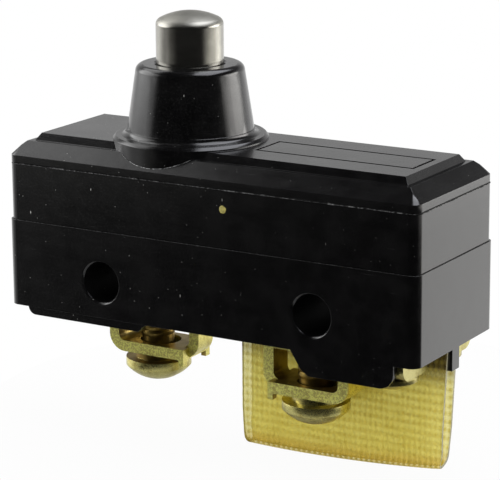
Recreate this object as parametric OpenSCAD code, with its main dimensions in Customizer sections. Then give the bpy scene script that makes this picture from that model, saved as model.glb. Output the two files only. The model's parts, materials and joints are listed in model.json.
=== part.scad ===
// Snap action switch with a tall overtravel plunger: a black moulded case of three
// layers, split contacts front and back, five screw terminals underneath and a folded
// insulating barrier between the two rows of terminals.
// Millimetres, +Z up. The origin is midway between the two mounting holes, at mid-width.

/* [Case] */
// Length of the case
body_l = 49.2; // [48.8:0.1:52]
// Width of the case
body_w = 17.45; // [17.3:0.05:19]
// Mounting hole line down to the underside
base_drop = 3.85; // [3.8:0.05:4.6]
// Mounting hole line up to the rim of the base
base_rise = 5.57; // [5.5:0.01:6.5]
// Height of the cover
cover_h = 6.13; // [6:0.01:7.5]
// Step from the base's side face in to the cover's
cover_step = 0.15; // [0.05:0.05:0.3]
// Radius of the upright corners
corner_r = 1.1; // [0.7:0.1:1.2]
// Thickness of the case walls
wall = 1.75; // [1.5:0.05:1.85]
// Thickness of the cover's roof
roof = 1.3; // [1:0.1:1.5]
// Floor of the contact chamber above the mounting hole line
floor_z = 3.9; // [3.4:0.05:4]
// Thickness of the partition between the front and back contacts
partition = 1.6; // [1.2:0.1:2]

/* [Mounting holes] */
// Distance between the mounting holes
hole_pitch = 25.4; // [25:0.1:25.8]
// Diameter of the mounting holes
hole_d = 4.34; // [3.8:0.02:4.5]
// Chamfer at the mouths of the mounting holes
hole_chamfer = 0.2; // [0.1:0.05:0.3]

/* [Underside] */
// Depth of the front and back skirts below the underside
skirt_drop = 2.5; // [2.2:0.1:2.8]
// Thickness of the skirts
skirt_t = 0.9; // [0.7:0.05:0.95]
// Distance from the case's right end to a skirt
skirt_end = 2.6; // [1.6:0.1:4.1]
// Length of a skirt's foot
skirt_l = 9.6; // [8:0.1:10.5]
// Run of a skirt's slanted left edge
skirt_slant = 2.1; // [1:0.1:2.4]
// Radius of a skirt's right corner
skirt_r = 1.6; // [0.8:0.1:2]
// Distance from the case's left end to the foot ribs
foot_end = 2.2; // [1.1:0.1:4]
// Length of the foot ribs
foot_l = 14.1; // [12:0.1:15]
// Run of the foot ribs' slanted right end
foot_slant = 1; // [0.4:0.1:1.4]
// Depth of the foot ribs below the underside
foot_drop = 0.95; // [0.6:0.05:1.2]
// Thickness of the foot ribs
foot_t = 1; // [0.8:0.1:1.2]
// Distance of the foot ribs from the side face
foot_inset = 0.35; // [0.2:0.05:0.6]
// Depth of the middle ridge below the underside
ridge_drop = 2.25; // [1.8:0.05:2.6]
// Thickness of the middle ridge
ridge_t = 1.6; // [1.2:0.1:2]
// Length of the middle ridge from the case's right end
ridge_l = 20.7; // [18.6:0.1:20.8]

/* [Plunger housing] */
// Chamfer along the seam under the plunger housing
seam_chamfer = 0.12; // [0.05:0.01:0.2]
// Upright band above the cover's seam
band_h = 0.9; // [0.6:0.05:1.4]
// Height of the sloped edge
slope_h = 1.4; // [1:0.05:1.8]
// Run of the sloped edge
slope_run = 1.55; // [1.3:0.05:1.8]
// Width of the ledge round the raised panel
ledge_w = 0.6; // [0.3:0.05:0.9]
// Height of the raised panel above the ledge
panel_rise = 0.75; // [0.3:0.05:0.9]
// Run of the panel's sloped edge
panel_run = 0.5; // [0.2:0.05:0.8]
// Distance from the plunger to the nearer end of the marking field
field_gap = 9.3; // [9:0.1:12]
// Distance from the panel's edge to the marking field's line
field_margin = 3.4; // [2.5:0.1:4.5]
// Width and depth of the marking field's line
field_line = 0.3; // [0.2:0.05:0.4]

/* [Plunger] */
// Place of the plunger along the case
plunger_x = -6.7; // [-7.2:0.1:-6.4]
// Diameter of the plunger
plunger_d = 7.14; // [6.6:0.02:7.2]
// Travel of the plunger
plunger_travel = 5; // [4:0.1:5.4]
// Height that the pressed plunger keeps above its boss
plunger_left = 0.5; // [0.2:0.05:0.8]
// Height of the plunger's crown
crown_h = 1.45; // [1.3:0.05:1.7]
// Radius of the crown's middle
crown_r = 7; // [6.5:0.5:9]
// Wall of the hollow plunger
plunger_wall = 0.95; // [0.8:0.05:1.1]
// Thickness of the plunger's head
plunger_head = 2.2; // [1.8:0.1:2.6]
// Reach of the plunger's foot flange beyond its side
flange_reach = 0.9; // [0.7:0.05:0.95]
// Thickness of the plunger's foot flange
flange_t = 1; // [0.8:0.1:1.4]
// Diameter of the disc at the boss's foot
disc_d = 16.5; // [15:0.1:16.6]
// Height of that disc above the panel
disc_rise = 0.45; // [0.3:0.05:0.9]
// Diameter of the boss above its foot fillet
boss_foot_d = 13.6; // [12.6:0.1:14]
// Diameter of the boss at its top
boss_top_d = 11.3; // [11:0.1:12.4]
// Height of the boss above the disc
boss_h = 7.5; // [7:0.1:9]
// Radius of the fillet at the boss's foot
boss_fillet = 0.6; // [0.4:0.1:1]
// Radius of the boss's top edge
boss_round = 0.8; // [0.4:0.1:1]
// Thickness of the boss's end wall
boss_lid = 2; // [1.6:0.1:2.6]
// Running clearance of sliding pieces, on the radius
run_gap = 0.08; // [0.04:0.01:0.1]

/* [Springs] */
// Wire of the return spring
return_wire = 0.5; // [0.4:0.05:0.55]
// Turns of the return spring
return_turns = 4.5; // [3:0.5:4.5]
// Wire of the overtravel spring
over_wire = 0.6; // [0.4:0.05:0.65]
// Turns of the overtravel spring
over_turns = 9; // [6:0.5:10]

/* [Actuator] */
// Diameter of the actuator's stem
stem_d = 4.4; // [4:0.1:4.6]
// Height of the stem above the cover
stem_up = 1.5; // [1.2:0.1:1.8]
// Half width of the actuator's crossbar along the case
bar_half = 1.5; // [1.2:0.1:1.7]
// Depth of the crossbar above its rounded nose
bar_depth = 0.9; // [0.6:0.1:1]

/* [Contacts] */
// Distance of the front and back rows from the side faces
row_inset = 3.825; // [3.75:0.025:3.95]
// Thickness of the terminal strips
strip_t = 1; // [0.8:0.05:1.1]
// Width of the terminal strips
strip_w = 3.7; // [3:0.1:3.8]
// Depth that the large terminals' pads are set into the underside
pad_sink = 0.55; // [0.4:0.05:0.6]
// Height of a blade's middle above the mounting hole line
blade_z = 7.2; // [7.1:0.02:7.3]
// Thickness of a blade
blade_t = 0.3; // [0.2:0.02:0.36]
// Width of a blade
blade_w = 3.6; // [3:0.1:3.7]
// Distance from the case's left end to the blades' pivots
pivot_end = 9.6; // [9.2:0.1:10]
// Distance from the case's right end to the contacts
contact_end = 10.2; // [9.6:0.1:11.6]
// Diameter of the contacts
contact_d = 3; // [2.4:0.1:3.2]
// Thickness of a moving contact on each side of its blade
contact_t = 0.55; // [0.4:0.05:0.6]
// Diameter of the contacts' rivet shanks
shank_d = 1.4; // [1.1:0.1:1.6]
// Contact gap of the open contacts at rest
contact_gap = 0.85; // [0.82:0.01:0.95]
// Gap that a closed contact keeps
touch_gap = 0.06; // [0.05:0.01:0.1]

/* [Terminals] */
// Distance from the case's left end to the common terminal's screw
common_end = 13.4; // [13.2:0.1:13.6]
// Distance from the case's right end to the normally open terminals' screws
open_end = 13.4; // [13.3:0.1:13.6]
// Distance from the case's right end to the normally closed terminals' screws
closed_end = 4.8; // [4.7:0.1:4.9]
// Diameter of the terminal screws
screw_d = 3.5; // [3:0.1:3.6]
// Diameter of the terminal screws' heads
head_d = 7.1; // [6.4:0.1:7.1]
// Height of a screw head's domed part
head_dome = 1.65; // [1.4:0.05:2]
// Height of a screw head's upright rim
head_rim = 0.9; // [0.5:0.1:1]
// Height of the collar between a screw head and its clamp
head_collar = 0.65; // [0.4:0.05:0.9]
// Diameter of the low heads of the normally closed terminals
low_head_d = 5.6; // [5:0.1:5.7]
// Height of the dome on those low heads
low_dome = 0.9; // [0.7:0.1:1.2]
// Height of their upright rim
low_rim = 0.5; // [0.3:0.1:0.7]
// Width of the screwdriver slots
slot = 0.9; // [0.6:0.1:1]
// Depth of a terminal screw's slot as a part of its dome's height
slot_part = 0.55; // [0.4:0.05:0.7]
// Distance of the large clamps' undersides below the case
clamp_drop = 5.4; // [5:0.05:5.8]
// Distance of the normally closed clamps' undersides below the case
closed_clamp_drop = 2.05; // [2:0.05:2.2]
// Thickness of the wire clamps
clamp_t = 1.2; // [1:0.05:1.25]
// Inner radius of a large clamp's bends
clamp_bend = 0.7; // [0.3:0.1:0.9]
// Shift of the common clamp from its screw, towards its narrow ear
common_shift = 0.75; // [0.5:0.05:0.8]
// Shift of a normally open clamp from its screw, towards its narrow ear
open_shift = 0.1; // [0:0.05:0.3]
// Length of a large clamp across its ears
clamp_l = 10.6; // [10.2:0.1:10.7]
// Width of a clamp along the wire
clamp_w = 5.4; // [5:0.1:5.5]
// Gap from a clamp's ears up to the case
ear_gap = 0.3; // [0.2:0.05:0.4]
// Width of a clamp's narrow ear
ear_narrow = 2.9; // [2.4:0.1:3.2]
// Length of the normally closed clamps along the case
closed_clamp_l = 5.6; // [5.2:0.1:5.7]
// Height of the normally closed clamps' ears above their floor
closed_ear = 0.9; // [0.6:0.1:1]

/* [Barrier] */
// Distance from the case's right end to the barrier
barrier_end = 0.4; // [0.1:0.1:2.6]
// Length of the barrier along the case
barrier_l = 24.1; // [22:0.1:24.7]
// Depth of the barrier's lowest place below the underside
barrier_drop = 14.15; // [11:0.05:16]
// Distance of that lowest place from the barrier's left edge
barrier_low = 4.4; // [3:0.1:12]
// Radius of the fold's slight bow along the case
barrier_bow = 170; // [150:10:400]
// Thickness of the barrier sheet
sheet_t = 0.3; // [0.2:0.05:0.4]
// Lean of the barrier's right edge, from its top down to its fold
barrier_lean = 0.8; // [0:0.1:1.2]

/* [Case screws] */
// Distance from the case's left end to the left case screw
case_screw_end = 5.6; // [5.1:0.1:6.1]
// Distance from the plunger to the right case screw
case_screw_gap = 7.9; // [7.7:0.1:8]
// Diameter of the case screws
case_screw_d = 2.4; // [2:0.1:2.5]
// Diameter of the case screws' heads
case_head_d = 4.4; // [3.8:0.1:4.5]
// Height of the case screws' heads
case_head_h = 1.4; // [1:0.1:1.5]

/* [Hidden] */
// Clearance of pieces that are set into or beside another and don't move
fit = 0.05;
// Inner radius of the bends in the terminal strips
strip_bend = 0.2;
// Radius of the contact chamber's upright corners
chamber_corner = 0.3;
// Clearance all round a strip in its slot in the base
slot_gap = 0.12;
// Overlap of a cut past the face that it opens
cut = 1;
// Wall of the chamber's bosses round the case screws
case_boss_wall = 0.8;
// Depth of the case screws' heads inside the underside
head_sink = 0.4;
// Width of the case screws' slots
case_slot = 0.65;
// Least wall under a mounting hole
hole_wall = 0.7;
// Room past a screw's tip in its hole
tip_room = 0.2;
// Play of a terminal screw in a hole that it passes through, on the diameter
passage_play = 0.4;
// Reach of a screw's collar beyond its shank
collar_reach = 0.75;
// Room from the actuator to the partition
bar_room = 0.4;
// Play of the overtravel spring round the actuator's nipple, on the diameter
nipple_play = 0.7;
// Height of the actuator's nipple
nipple_h = 1;
// Gap round the normally closed clamps and over their ears
pocket_gap = 0.2;
// Gap from the normally closed clamps to the skirts
skirt_gap = 0.125;
// Room above the pads in the normally closed terminals' pocket
pocket_room = 0.5;
// Room beside the normally closed clamps, and wall left at the end of their pocket
pocket_margin = 1.2;
// Play of a pad between a large clamp's ears
pad_play = 0.6;
// Gap from a normally closed terminal's leg to the chamber's end wall
leg_room = 0.3;
// Margin of a terminal's arm round its contact
arm_margin = 0.4;
// Corner tabs of a large clamp: width, depth and drop below the clamp
tab_w = 0.6;
tab_deep = 0.8;
tab_drop = 0.65;
// Knee in a skirt's slanted edge: part of its run, and height above the foot
knee_part = 0.4;
knee_rise = 0.55;
// Chamfer at the mouth of the plunger's bore
mouth_chamfer = 0.2;
// Bowed leaves of a blade: start from the pivot, end from the contact, sag and overlap
leaf_start = 4;
leaf_end = 4.5;
leaf_sag = 1;
leaf_root = 0.2;
// Half width of a blade's tongue as a part of a leaf's width
tongue_part = 0.7;
// Length of a blade past its pivot
blade_tail = 0.8;

z_under = -base_drop;
z_seam = base_rise;
z_roof = z_seam + cover_h;
z_ceiling = z_roof - roof;
z_band = z_roof + band_h;
z_ledge = z_band + slope_h;
z_panel = z_ledge + panel_rise;
z_disc = z_panel + disc_rise;
z_boss = z_disc + boss_h;

half_l = body_l / 2;
half_w = body_w / 2;
top_half_l = half_l - cover_step;
top_half_w = half_w - cover_step;
chamber_l = half_l - wall;
chamber_w = half_w - wall;
case_boss_r = case_screw_d / 2 + case_boss_wall;
head_seat_z = z_under + case_head_h + head_sink;
case_screw_up = band_h + slope_h / 2;
skirt_inner = half_w - skirt_t;
skirt_x1 = half_l - skirt_end;
skirt_x0 = skirt_x1 - skirt_l;
foot_x0 = foot_end - half_l;
foot_x1 = foot_x0 + foot_l;
ridge_x0 = half_l - ridge_l;
barrier_x1 = half_l - barrier_end;
barrier_x0 = barrier_x1 - barrier_l;
case_screw_x0 = case_screw_end - half_l;
case_screw_x1 = plunger_x + case_screw_gap;

row_y = half_w - row_inset;
pivot_x = pivot_end - half_l;
contact_x = half_l - contact_end;
common_x = common_end - half_l;
open_x = half_l - open_end;
closed_x = half_l - closed_end;
closed_clamp_w = 2 * (skirt_inner - row_y - skirt_gap);

bore_r = plunger_d / 2 + run_gap;
flange_r = plunger_d / 2 + flange_reach;
chamber_r = flange_r + run_gap;
z_plunger = z_boss + plunger_left + plunger_travel;
z_shoulder = z_boss - boss_lid - fit;
plunger_bore_r = plunger_d / 2 - plunger_wall;

blade_top = blade_z + blade_t / 2;
blade_under = blade_z - blade_t / 2;
nose_z = blade_top + fit;
bar_top = nose_z + bar_half + bar_depth;
stem_top = z_roof + stem_up;
partition_x0 = plunger_x + max(stem_d / 2, bar_half) + bar_room;
nipple_d = plunger_bore_r * 2 - 2 * over_wire - nipple_play;

z_closed_face = blade_top + contact_t + touch_gap;
z_closed_arm = z_closed_face + contact_t + strip_t / 2;
z_open_face = blade_under - contact_t - contact_gap;
z_open_arm = z_open_face - contact_t - strip_t / 2;
z_common_arm = floor_z + slot_gap + strip_t / 2;
z_pad = z_under + pad_sink - fit - strip_t / 2;

clamp_floor = z_under - clamp_drop;
clamp_floor_closed = z_under - closed_clamp_drop;
z_closed_pad = clamp_floor_closed + clamp_t + closed_ear + pocket_gap + strip_t / 2;
z_pocket = z_closed_pad + strip_t / 2 + pocket_room;
pocket_x0 = closed_x - closed_clamp_l / 2 - pocket_margin;
pocket_x1 = half_l - pocket_margin;
pocket_y0 = row_y - closed_clamp_w / 2 - pocket_gap;
pad_l = clamp_l - 2 * clamp_t - pad_play;
tab_x = clamp_l / 2 - clamp_t;
closed_leg_x = chamber_l - leg_room - strip_t / 2;
common_clamp_x = common_x + common_shift;
open_clamp_x = open_x - open_shift;
common_leg_x = common_clamp_x + pad_l / 2 - strip_t / 2;
open_leg_x = open_clamp_x - pad_l / 2 + strip_t / 2;
anchor_half = row_y + blade_w / 2;
tip_top = -hole_d / 2 - hole_wall - tip_room;
tip_closed = z_pocket - tip_room / 2;

arm_end = contact_d / 2 + arm_margin;
tapped_d = screw_d + 2 * fit;
collar_d = screw_d + 2 * collar_reach;
passage_d = screw_d + passage_play;

$fn = 64;

// Plan outline with rounded corners, centred
module rounded_plan(half_x, half_y, r) {
  square([2 * half_x - 2 * r, 2 * half_y], center = true);
  square([2 * half_x, 2 * half_y - 2 * r], center = true);
  for (sx = [-1, 1], sy = [-1, 1])
    translate([sx * (half_x - r), sy * (half_y - r)])
      circle(r);
}

// Upright block with rounded corners between two heights
module rounded_block(half_x, half_y, r, z0, z1) {
  translate([0, 0, z0])
    linear_extrude(z1 - z0)
      rounded_plan(half_x, half_y, r);
}

// Square-cornered block between two corners
module block(low, high) {
  translate(low)
    cube(high - low);
}

// Outline drawn in X and Z, given a thickness from y0 to y1
module side_plate(y0, y1) {
  translate([0, y1, 0])
    rotate([90, 0, 0])
      linear_extrude(y1 - y0)
        children();
}

// Outline drawn in Y and Z, given a length from x0 to x1
module end_plate(x0, x1) {
  translate([x0, 0, 0])
    rotate([90, 0, 90])
      linear_extrude(x1 - x0)
        children();
}

// Upright rod between two heights
module rod(d, z0, z1) {
  translate([0, 0, z0])
    cylinder(d = d, h = z1 - z0);
}

// Direction of the run from one point of a path to the next
function heading(points, i) = (points[i + 1] - points[i]) / norm(points[i + 1] - points[i]);

// Bent strip: straight runs between the points, with square bends of the given inner radius
module strip_outline(points, t, bend) {
  r = bend + t / 2;
  last = len(points) - 2;
  for (i = [0 : last]) {
    run = heading(points, i);
    start = points[i] + run * (i > 0 ? r : 0);
    end = points[i + 1] - run * (i < last ? r : 0);
    translate(start)
      rotate(atan2(run[1], run[0]))
        translate([0, -t / 2])
          square([norm(end - start), t]);
  }
  for (i = [1 : last]) {
    before = heading(points, i - 1);
    after = heading(points, i);
    translate(points[i] + (after - before) * r)
      rotate(atan2(before[1] - after[1], before[0] - after[0]) - 45)
        intersection() {
          difference() {
            circle(r + t / 2);
            circle(r - t / 2);
          }
          square(r + t);
        }
  }
}

// The pieces and their mirror images across mid-width
module both_sides() {
  children();
  mirror([0, 1, 0])
    children();
}

// One copy on the front row's line, or its mirror image on the back row's
module in_row(back) {
  if (back)
    mirror([0, 1, 0])
      translate([0, -row_y, 0])
        children();
  else
    translate([0, -row_y, 0])
      children();
}

// Coil of round wire, swept along a helix about Z between two heights
module coil(mid_r, wire, turns, z0, z1) {
  sides = 8;
  steps = 18;
  rings = round(turns * steps);
  rise = z1 - z0 - wire;
  points = [
    for (i = [0 : rings])
      let (turn = 360 * i / steps, z = z0 + wire / 2 + rise * i / rings)
        for (k = [0 : sides - 1])
          let (r = mid_r + wire / 2 * cos(360 * k / sides))
            [r * cos(turn), r * sin(turn), z + wire / 2 * sin(360 * k / sides)]
  ];
  walls = [
    for (i = [0 : rings - 1], k = [0 : sides - 1])
      let (a = i * sides + k, b = i * sides + (k + 1) % sides)
        each [[a, a + sides, b], [b, a + sides, b + sides]]
  ];
  first = [for (k = [0 : sides - 1]) k];
  last = [for (k = [sides - 1 : -1 : 0]) rings * sides + k];
  polyhedron(points, concat(walls, [first, last]));
}

// Left and right mounting holes, with a chamfer at each mouth
module mounting_holes() {
  for (side = [-1, 1])
    translate([side * hole_pitch / 2, 0, 0])
      rotate([90, 0, 0]) {
        cylinder(d = hole_d, h = body_w + 2 * cut, center = true);
        for (face = [0, 180])
          rotate([face, 0, 0])
            translate([0, 0, half_w - hole_chamfer])
              cylinder(d1 = hole_d, d2 = hole_d + 4 * hole_chamfer, h = 2 * hole_chamfer);
      }
}

// Skirt that hides the normally closed terminals, as seen from the front
module skirt_outline() {
  z_foot = z_under - skirt_drop;
  polygon([
    [skirt_x0 - skirt_slant, z_under + cut],
    [skirt_x0 - skirt_slant, z_under],
    [skirt_x0 - skirt_slant * knee_part, z_foot + knee_rise],
    [skirt_x0, z_foot],
    [skirt_x1 - skirt_r, z_foot],
    [skirt_x1 - skirt_r, z_foot + skirt_r],
    [skirt_x1, z_foot + skirt_r],
    [skirt_x1, z_under + cut]
  ]);
  translate([skirt_x1 - skirt_r, z_foot + skirt_r])
    circle(skirt_r);
}

// Low rib under the left end, rounded at its outer end and slanted at its inner one
module foot_outline() {
  polygon([
    [foot_x0 + foot_drop, z_under + cut],
    [foot_x0 + foot_drop, z_under - foot_drop],
    [foot_x1, z_under - foot_drop],
    [foot_x1 + foot_slant, z_under],
    [foot_x1 + foot_slant, z_under + cut]
  ]);
  translate([foot_x0 + foot_drop, z_under])
    circle(foot_drop);
}

// Slot through the base for one terminal strip's upright leg
module leg_slot(x) {
  block([x - strip_t / 2 - slot_gap, -strip_w / 2 - slot_gap, z_under - cut],
        [x + strip_t / 2 + slot_gap, strip_w / 2 + slot_gap, floor_z + cut]);
}

// Blind hole that takes the tip of a large terminal screw
module tip_hole(x) {
  translate([x, 0, 0])
    rod(passage_d, z_under - cut, tip_top + tip_room);
}

// Shallow recess that takes the pad of a large terminal
module pad_recess(x) {
  block([x - pad_l / 2 - slot_gap, -clamp_w / 2 - slot_gap, z_under - cut],
        [x + pad_l / 2 + slot_gap, clamp_w / 2 + slot_gap, z_under + pad_sink]);
}

// Everything that is cut from the base for one row of terminals
module row_cuts() {
  pad_recess(open_clamp_x);
  leg_slot(open_leg_x);
  leg_slot(closed_leg_x);
  tip_hole(open_x);
  block([pocket_x0, row_y - skirt_inner, z_under - skirt_drop - cut],
        [pocket_x1, row_y - pocket_y0, z_pocket]);
}

module base() {
  color("#161618")
    difference() {
      union() {
        rounded_block(half_l, half_w, corner_r, z_under, z_seam);
        both_sides() {
          side_plate(-half_w, -skirt_inner)
            skirt_outline();
          side_plate(-half_w + foot_inset, -half_w + foot_inset + foot_t)
            foot_outline();
        }
        block([ridge_x0, -ridge_t / 2, z_under - ridge_drop], [half_l, ridge_t / 2, z_under + cut]);
      }
      difference() {
        rounded_block(chamber_l, chamber_w, chamber_corner, floor_z, z_seam + cut);
        partition_walls(floor_z, z_seam + cut);
      }
      pad_recess(common_clamp_x);
      leg_slot(common_leg_x);
      tip_hole(common_x);
      both_sides()
        in_row(false)
          row_cuts();
      case_screw_holes(head_seat_z - cut, z_seam + cut);
      for (x = [case_screw_x0, case_screw_x1])
        translate([x, 0, 0])
          rod(case_head_d + 2 * fit, z_under - cut, head_seat_z);
      mounting_holes();
    }
}

// Wall between the front and back contacts, with the bosses of the case screws
module partition_walls(z0, z1) {
  block([partition_x0, -partition / 2, z0], [chamber_l + cut, partition / 2, z1]);
  for (x = [case_screw_x0, case_screw_x1])
    translate([x, 0, 0])
      rod(2 * case_boss_r, z0, z1);
}

// Holes for the shanks of the case screws
module case_screw_holes(z0, z1) {
  for (x = [case_screw_x0, case_screw_x1])
    translate([x, 0, 0])
      rod(case_screw_d + 2 * fit, z0, z1);
}

module cover() {
  color("#18181a")
    difference() {
      rounded_block(top_half_l, top_half_w, corner_r, z_seam, z_roof);
      difference() {
        rounded_block(chamber_l, chamber_w, chamber_corner, z_seam - cut, z_ceiling);
        partition_walls(z_seam - 2 * cut, z_ceiling + cut);
      }
      case_screw_holes(z_seam - cut, z_roof + cut);
      translate([plunger_x, 0, 0])
        rod(stem_d + 2 * run_gap, z_ceiling - cut, z_roof + cut);
    }
}

// Section of the housing's top across one direction: band, slope, ledge and raised panel
module top_section(half) {
  ledge = half - slope_run;
  panel = ledge - ledge_w;
  right = [
    [half - seam_chamfer, z_roof], [half, z_roof + seam_chamfer], [half, z_band], [ledge, z_ledge],
    [panel, z_ledge], [panel - panel_run, z_panel]
  ];
  left = [for (i = [len(right) - 1 : -1 : 0]) [-right[i][0], right[i][1]]];
  polygon(concat(right, left));
}

// Boss round the plunger: foot disc, fillet, tapered wall and rounded rim
module boss() {
  foot_r = boss_foot_d / 2;
  top_r = boss_top_d / 2;
  taper = (foot_r - top_r) / boss_h;
  rim_r = top_r + taper * boss_round;
  rotate_extrude($fn = 128) {
    polygon([
      [0, z_roof], [disc_d / 2, z_roof], [disc_d / 2, z_disc - field_line],
      [disc_d / 2 - field_line, z_disc],
      [foot_r, z_disc], [rim_r, z_boss - boss_round], [rim_r - boss_round, z_boss], [0, z_boss]
    ]);
    translate([rim_r - boss_round, z_boss - boss_round])
      circle(boss_round);
    difference() {
      translate([foot_r - boss_fillet, z_disc])
        square([2 * boss_fillet, boss_fillet]);
      translate([foot_r + boss_fillet, z_disc + boss_fillet])
        circle(boss_fillet);
    }
  }
}

// Engraved line round the marking field on the top panel
module field_line_cut() {
  x0 = plunger_x + field_gap;
  x1 = top_half_l - slope_run - ledge_w - panel_run - field_line * 3;
  y1 = top_half_w - slope_run - ledge_w - panel_run - field_margin;
  translate([0, 0, z_panel - field_line])
    linear_extrude(cut)
      difference() {
        translate([x0, -y1])
          square([x1 - x0, 2 * y1]);
        translate([x0 + field_line, -y1 + field_line])
          square([x1 - x0 - 2 * field_line, 2 * y1 - 2 * field_line]);
      }
}

// Material outside the rounded corners of the housing, cut away up the sloped edge
module corner_trims() {
  inset = min(corner_r, slope_run);
  z_trim = z_band + slope_h * inset / slope_run;
  for (turn = [0, 1], flip = [0, 1])
    mirror([turn, 0, 0])
      mirror([0, flip, 0])
        translate([top_half_l - corner_r, top_half_w - corner_r, 0])
          difference() {
            block([0, 0, z_roof - cut], [corner_r + cut, corner_r + cut, z_trim]);
            rod(2 * corner_r, z_roof - 2 * cut, z_band);
            translate([0, 0, z_band])
              cylinder(r1 = corner_r, r2 = corner_r - inset, h = z_trim - z_band);
          }
}

module plunger_housing() {
  color("#1a1a1c")
    difference() {
      union() {
        intersection() {
          side_plate(-half_w, half_w)
            top_section(top_half_l);
          end_plate(-half_l, half_l)
            top_section(top_half_w);
        }
        translate([plunger_x, 0, 0])
          boss();
      }
      corner_trims();
      translate([plunger_x, 0, 0]) {
        rod(2 * chamber_r, z_roof - cut, z_shoulder + fit);
        rod(2 * bore_r, z_roof, z_boss + cut);
        translate([0, 0, z_boss - mouth_chamfer])
          cylinder(r1 = bore_r, r2 = bore_r + 2 * mouth_chamfer, h = 2 * mouth_chamfer);
      }
      case_screw_holes(z_roof - cut, z_roof + case_screw_up + tip_room);
      field_line_cut();
    }
}

// One case screw, head down, with a screwdriver slot
module case_screw() {
  difference() {
    union() {
      rod(case_screw_d, head_seat_z - cut / 2, z_roof + case_screw_up);
      rod(case_head_d, head_seat_z - case_head_h, head_seat_z - fit);
    }
    translate([0, 0, head_seat_z - case_head_h])
      cube([case_head_d + cut, case_slot, case_head_h], center = true);
  }
}

module case_screws() {
  color("#9a9a98")
    for (x = [case_screw_x0, case_screw_x1])
      translate([x, 0, 0])
        case_screw();
}

// Hollow plunger with a foot flange and a crown of two arcs that run into each other
module plunger() {
  r = plunger_d / 2;
  z_crown = z_plunger - crown_h;
  sink = crown_r - crown_h;
  edge_r = (crown_r * crown_r - sink * sink - r * r) / (2 * (crown_r - r));
  meet_x = crown_r * (r - edge_r) / (crown_r - edge_r);
  color("#a5a49c")
    translate([plunger_x, 0, 0])
      rotate_extrude($fn = 128)
        difference() {
          union() {
            translate([0, z_shoulder - flange_t])
              square([flange_r, flange_t]);
            translate([0, z_shoulder - flange_t])
              square([r, z_crown - z_shoulder + flange_t]);
            translate([r - edge_r, z_crown])
              circle(edge_r);
            intersection() {
              translate([0, z_crown - sink])
                circle(crown_r, $fn = 360);
              translate([0, z_crown - cut])
                square([meet_x, crown_h + 2 * cut]);
            }
          }
          translate([0, z_shoulder - flange_t - cut])
            square([plunger_bore_r, z_plunger - plunger_head - z_shoulder + flange_t + cut]);
        }
}

module return_spring() {
  color("#8d8f90")
    translate([plunger_x, 0, 0])
      coil(flange_r - return_wire / 2 - fit, return_wire, return_turns,
           z_roof + fit, z_shoulder - flange_t - fit);
}

module overtravel_spring() {
  color("#8d8f90")
    translate([plunger_x, 0, 0])
      coil(plunger_bore_r - over_wire / 2 - 2 * fit, over_wire, over_turns,
           stem_top + fit, z_plunger - plunger_head - fit);
}

// Insulating pin that passes the plunger's push down to both blades
module actuator() {
  color("#4a2f22")
    translate([plunger_x, 0, 0]) {
      rod(stem_d, bar_top - cut / 2, stem_top);
      rod(nipple_d, stem_top - cut / 2, stem_top + nipple_h);
      side_plate(-anchor_half, anchor_half) {
        translate([0, nose_z + bar_half])
          circle(bar_half);
        translate([-bar_half, nose_z + bar_half])
          square([2 * bar_half, bar_depth]);
      }
    }
}

// Terminal: a strip bent along its points, with a wider tapped pad; pad gives its length and width
module terminal(points, pad_x, screw_x, pad_z, pad) {
  difference() {
    union() {
      side_plate(-strip_w / 2, strip_w / 2)
        strip_outline(points, strip_t, strip_bend);
      translate([pad_x, 0, pad_z])
        cube([pad[0], pad[1], strip_t], center = true);
    }
    translate([screw_x, 0, 0])
      rod(tapped_d, pad_z - strip_t, pad_z + strip_t);
  }
}

// Hole in a terminal's arm for the shank of its contact
module contact_hole(z_arm) {
  translate([contact_x, 0, 0])
    rod(shank_d + 2 * fit, z_arm - strip_t, z_arm + strip_t);
}

// Single common terminal on mid-width, ending in a bar under both blades' roots
module common_terminal() {
  color("#b9a14a") {
    terminal([
      [common_clamp_x - pad_l / 2, z_pad], [common_leg_x, z_pad],
      [common_leg_x, z_common_arm], [pivot_x, z_common_arm]
    ], common_clamp_x, common_x, z_pad, [pad_l, clamp_w]);
    block([pivot_x - strip_t / 2, -anchor_half, z_common_arm - strip_t / 2],
          [pivot_x + strip_t / 2, anchor_half, blade_under - fit]);
  }
}

module open_terminal(back) {
  color("#b9a14a")
    in_row(back)
      difference() {
        terminal([
          [open_clamp_x + pad_l / 2, z_pad], [open_leg_x, z_pad],
          [open_leg_x, z_open_arm], [contact_x + arm_end, z_open_arm]
        ], open_clamp_x, open_x, z_pad, [pad_l, clamp_w]);
        contact_hole(z_open_arm);
      }
}

module closed_terminal(back) {
  color("#b9a14a")
    in_row(back)
      difference() {
        terminal([
          [closed_x - closed_clamp_l / 2, z_closed_pad], [closed_leg_x, z_closed_pad],
          [closed_leg_x, z_closed_arm], [contact_x - arm_end, z_closed_arm]
        ], closed_x, closed_x, z_closed_pad, [closed_clamp_l, closed_clamp_w - 2 * pocket_gap]);
        contact_hole(z_closed_arm);
      }
}

// Contact rivet of a fixed contact: a button on one side of its strip
module fixed_contact(z_face, z_arm, back) {
  up = z_face > z_arm ? 1 : -1;
  color("#c9c9c4")
    in_row(back)
      translate([contact_x, 0, z_arm])
        mirror([0, 0, up > 0 ? 0 : 1]) {
          rod(contact_d, strip_t / 2, abs(z_face - z_arm));
          rod(shank_d, -strip_t / 2, strip_t);
        }
}

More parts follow.
